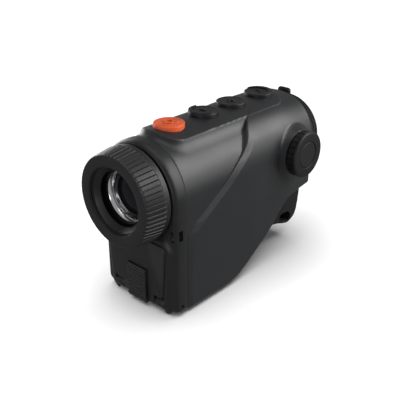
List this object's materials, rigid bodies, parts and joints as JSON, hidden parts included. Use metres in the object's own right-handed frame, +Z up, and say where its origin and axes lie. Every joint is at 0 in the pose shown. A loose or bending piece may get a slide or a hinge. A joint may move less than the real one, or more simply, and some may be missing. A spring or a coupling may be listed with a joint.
{
  "type": "thermal monocular",
  "caption": "Handheld thermal imaging monocular with a focus ring, round top buttons, side diopter knob, hinged battery door, soft eyecup and tripod socket.",
  "frame": {"origin": "mouth of the quarter-inch tripod socket in the flat bottom", "axes": "+Z up, the objective looks along -Y, the eyepiece along +Y, the diopter knob on the +X side"},
  "size_m": [0.0609, 0.14, 0.0929],
  "materials": {
    "shell": "soft-touch painted, satin sheen",
    "bezel": "fine textured moulding",
    "ring": "satin, ribbed",
    "key_black": "satin rubber",
    "key_orange": "satin rubber",
    "cup": "matte rubber",
    "seal": "matte",
    "latch": "ribbed moulding",
    "barrel": "black anodised",
    "germanium": "coated infrared lens, opaque to the eye",
    "eye_glass": "polished",
    "steel": "machined",
    "brass": "machined",
    "contact": "plated",
    "board": "solder mask",
    "switch": "moulded",
    "flex": "polyimide film",
    "shield": "pressed sheet",
    "pad": "soft pad",
    "spreader": "milled",
    "display": "display cover",
    "battery": "sleeved cell",
    "battery_tube": "moulded"
  },
  "bodies": {
    "housing": {"housing": "shell", "rear_ring": "bezel", "rear_ring_screws": "steel", "eyecup": "cup", "front_bezel": "bezel", "door_hinge_pin": "steel", "objective_barrel": "barrel", "focus_oring": "seal", "button_membrane": "cup", "keypad_board": "board", "tact_switches": "switch", "keypad_flex": "flex", "knob_bush": "brass", "knob_oring": "seal", "knob_washer": "steel", "eyepiece_tube": "barrel", "chassis_frame": "barrel", "main_board": "board", "board_screws": "steel", "processor_shield": "shield", "thermal_pad": "pad", "heat_spreader": "spreader", "sensor_core": "spreader", "shutter_unit": "shield", "display_module": "display", "display_bracket": "barrel", "usb_connector": "shield", "battery_cell": "battery", "battery_tube": "battery_tube", "battery_rear_contact": "contact", "belly_cover": "bezel", "tripod_insert": "brass", "bezel_screws": "steel", "barrel_screws": "steel", "belly_cover_screws": "steel"},
    "focus_ring": {"focus_ring": "ring"},
    "objective_cell": {"objective_cell": "barrel", "objective_front_lens": "germanium", "objective_rear_lens": "germanium", "objective_retaining_ring": "barrel", "focus_guide_pin": "steel"},
    "button_power": {"button_power": "key_orange"},
    "button_zoom": {"button_zoom": "key_black"},
    "button_palette": {"button_palette": "key_black"},
    "button_capture": {"button_capture": "key_black"},
    "diopter": {"diopter_knob": "ring", "knob_cap": "key_black", "diopter_shaft": "steel", "knob_screw": "steel"},
    "eyepiece_cell": {"eyepiece_cell": "barrel", "eye_front_lens": "eye_glass", "eye_rear_lens": "eye_glass", "eye_lens_retainer": "barrel"},
    "battery_door": {"battery_door": "bezel", "door_seal": "seal", "door_contact": "contact"},
    "door_latch": {"door_latch": "latch"},
    "port_flap": {"port_flap": "cup"},
    "shutter_vane": {"shutter_vane": "shield"}
  },
  "joints": [
    {"name": "focus_turn", "type": "hinge", "parent": "housing", "child": "focus_ring", "pos_m": [0, -0.038, 0.062], "axis": [0, 1, 0], "range_deg": [-90, 90]},
    {"name": "objective_slide", "type": "slide", "parent": "housing", "child": "objective_cell", "axis": [0, 1, 0], "range_m": [-0.0015, 0.0015]},
    {"name": "press_power", "type": "slide", "parent": "housing", "child": "button_power", "axis": [0, 0, -1], "range_m": [0, 0.0008], "stiffness_N_per_m": 900, "springref_m": -0.0003},
    {"name": "press_zoom", "type": "slide", "parent": "housing", "child": "button_zoom", "axis": [0, 0, -1], "range_m": [0, 0.0008], "stiffness_N_per_m": 900, "springref_m": -0.0003},
    {"name": "press_palette", "type": "slide", "parent": "housing", "child": "button_palette", "axis": [0, 0, -1], "range_m": [0, 0.0008], "stiffness_N_per_m": 900, "springref_m": -0.0003},
    {"name": "press_capture", "type": "slide", "parent": "housing", "child": "button_capture", "axis": [0, 0, -1], "range_m": [0, 0.0008], "stiffness_N_per_m": 900, "springref_m": -0.0003},
    {"name": "diopter_turn", "type": "hinge", "parent": "housing", "child": "diopter", "pos_m": [0.031, 0.0652, 0.062], "axis": [1, 0, 0], "range_deg": [-28, 28]},
    {"name": "eyepiece_slide", "type": "slide", "parent": "housing", "child": "eyepiece_cell", "axis": [0, 1, 0], "range_m": [-0.002, 0.002]},
    {"name": "door_swing", "type": "hinge", "parent": "housing", "child": "battery_door", "pos_m": [0, -0.028, 0.0046], "axis": [1, 0, 0], "range_deg": [0, 85]},
    {"name": "latch_slide", "type": "slide", "parent": "battery_door", "child": "door_latch", "axis": [0, 0, -1], "range_m": [0, 0.0012], "stiffness_N_per_m": 500, "springref_m": -0.001},
    {"name": "flap_swing", "type": "hinge", "parent": "housing", "child": "port_flap", "pos_m": [-0.0256, 0.0125, 0.0403], "axis": [0, -1, 0], "range_deg": [0, 90]},
    {"name": "shutter_swing", "type": "hinge", "parent": "housing", "child": "shutter_vane", "pos_m": [0.009, -0.0139, 0.049], "axis": [0, -1, 0], "range_deg": [0, 58]}
  ],
  "couplings": [
    {"joint": "objective_slide", "follows": "focus_turn", "m_per_rad": 0.00095},
    {"joint": "eyepiece_slide", "follows": "diopter_turn", "m_per_rad": 0.0039}
  ]
}
